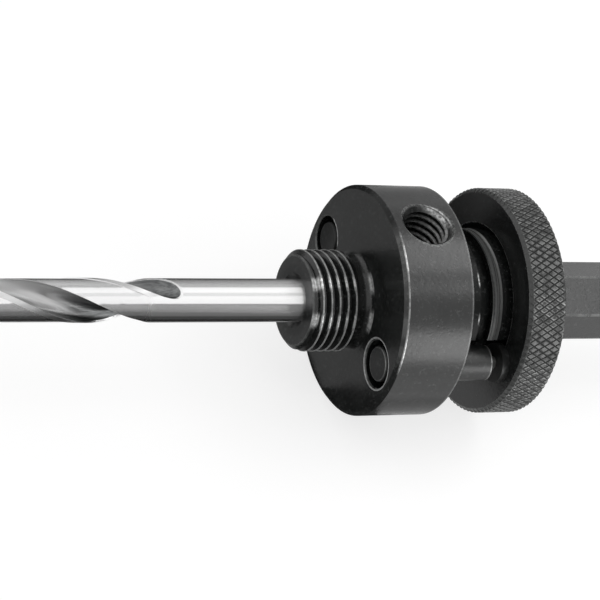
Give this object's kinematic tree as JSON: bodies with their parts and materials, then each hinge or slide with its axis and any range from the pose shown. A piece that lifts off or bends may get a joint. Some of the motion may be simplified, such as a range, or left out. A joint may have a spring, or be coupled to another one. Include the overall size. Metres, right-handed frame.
{
  "type": "hole saw arbor",
  "caption": "Hole saw arbor with a threaded nose, a collar, a knurled sliding ring with drive pins, a hex shank and a pilot drill held by a set screw.",
  "frame": {"origin": "on the tool's axis at the front face of the collar, where a saw seats", "axes": "+X along the axis from the drill's point to the shank, +Z out of the set screw's hole, so the drive pins lie on +Y and -Y"},
  "size_m": [0.1383, 0.0362, 0.0362],
  "materials": {
    "black_oxide_steel": "black oxide, satin, worn bright on edges",
    "bright_drill_steel": "ground and polished high speed steel",
    "spring_steel": "phosphated spring steel"
  },
  "bodies": {
    "arbor": {"arbor_body": "black_oxide_steel", "pilot_drill": "bright_drill_steel", "set_screw": "black_oxide_steel", "stop_ring": "spring_steel"},
    "drive_plate": {"drive_ring": "black_oxide_steel", "drive_pin_left": "black_oxide_steel", "drive_pin_right": "black_oxide_steel", "detent_ring": "spring_steel"}
  },
  "joints": [
    {"name": "ring_slide", "type": "slide", "parent": "arbor", "child": "drive_plate", "axis": [-1, 0, 0], "range_m": [0, 0.0099]}
  ]
}
